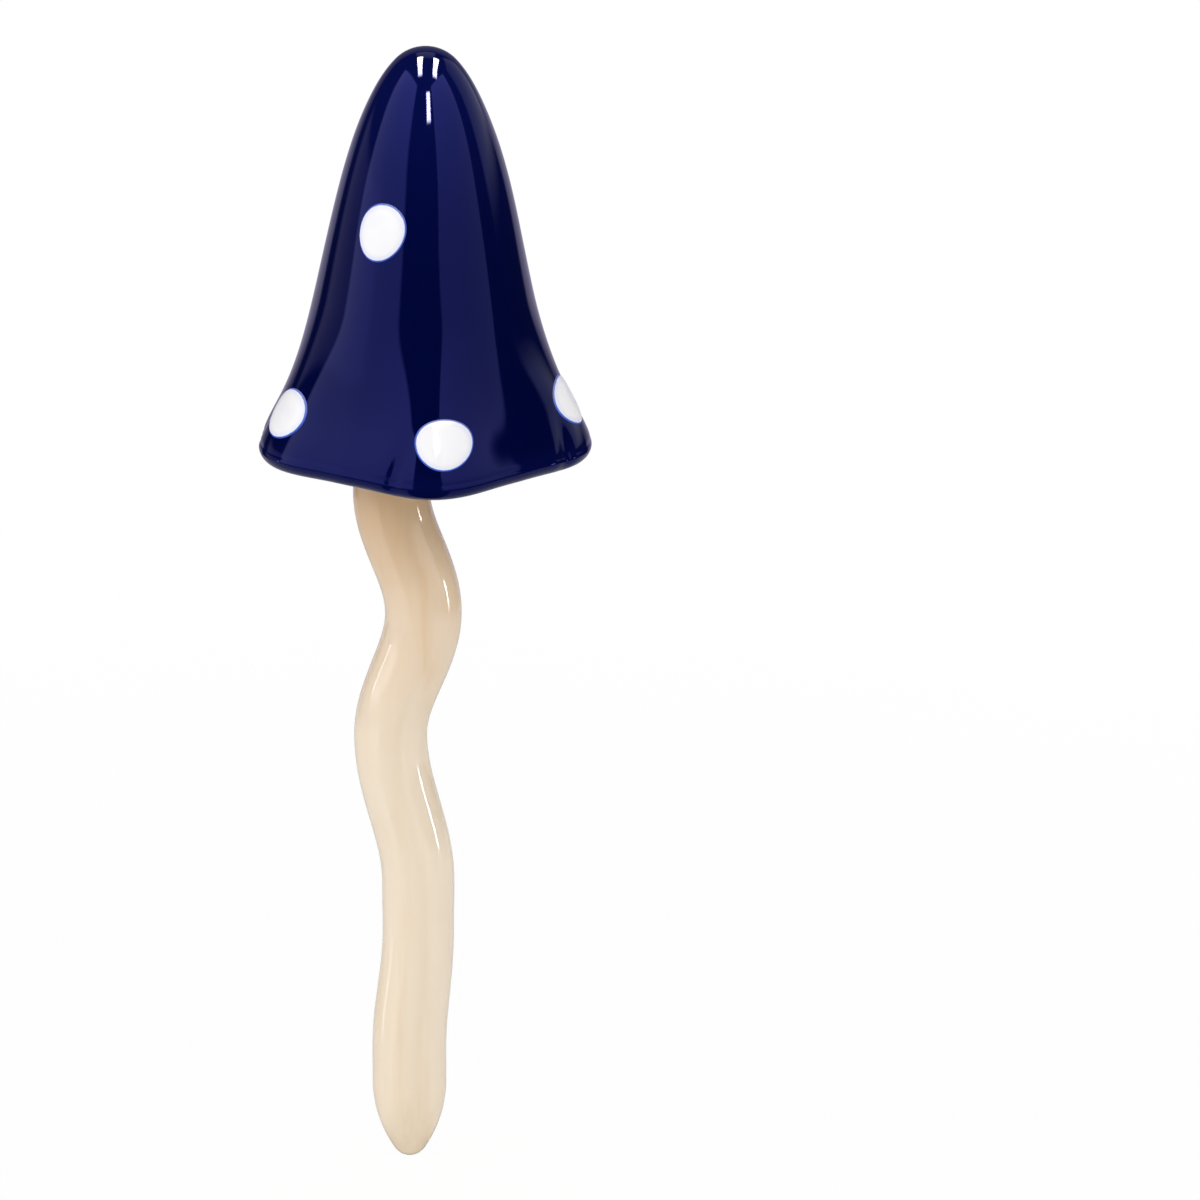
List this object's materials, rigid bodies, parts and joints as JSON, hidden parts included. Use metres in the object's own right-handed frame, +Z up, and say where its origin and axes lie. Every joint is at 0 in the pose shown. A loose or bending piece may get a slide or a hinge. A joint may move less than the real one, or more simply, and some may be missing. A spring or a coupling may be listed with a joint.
{
  "type": "ceramic mushroom ornament",
  "caption": "Glazed ceramic mushroom on a wavy hollow stem that ends in a stake; its loose bell-shaped cap with raised spots turns, rocks and lifts off.",
  "frame": {"origin": "on the stake's axis at the soil line, the upper end of the straight part of the stake", "axes": "+Z up, out of the soil; the stem's bends lie in the XZ plane and the front faces -Y"},
  "size_m": [0.0992, 0.0983, 0.3531],
  "materials": {
    "stem_glaze": "glossy cream glaze",
    "seat_rubber": "soft matte rubber",
    "seat_bisque": "unglazed biscuit",
    "cap_glaze": "glossy cobalt glaze",
    "spot_glaze": "glossy white glaze"
  },
  "bodies": {
    "stem": {"stem": "stem_glaze"},
    "seat_washer": {"seat_washer": "seat_rubber"},
    "seat_plug": {"seat_plug": "seat_bisque"},
    "cap": {"cap": "cap_glaze", "rim_spot_1": "spot_glaze", "rim_spot_2": "spot_glaze", "rim_spot_3": "spot_glaze", "rim_spot_4": "spot_glaze", "rim_spot_5": "spot_glaze", "crown_spot_1": "spot_glaze", "crown_spot_2": "spot_glaze"}
  },
  "joints": [
    {"name": "cap_lift", "type": "slide", "parent": "stem", "child": "seat_washer", "axis": [0, 0, 1], "range_m": [0, 0.12]},
    {"name": "cap_turn", "type": "hinge", "parent": "seat_washer", "child": "seat_plug", "pos_m": [0.0063, 0, 0.3052], "axis": [0, 0, 1], "continuous": true},
    {"name": "cap_rock", "type": "hinge", "parent": "seat_plug", "child": "cap", "pos_m": [0.0063, 0, 0.3052], "axis": [0, 1, 0], "range_deg": [-6, 6]}
  ]
}
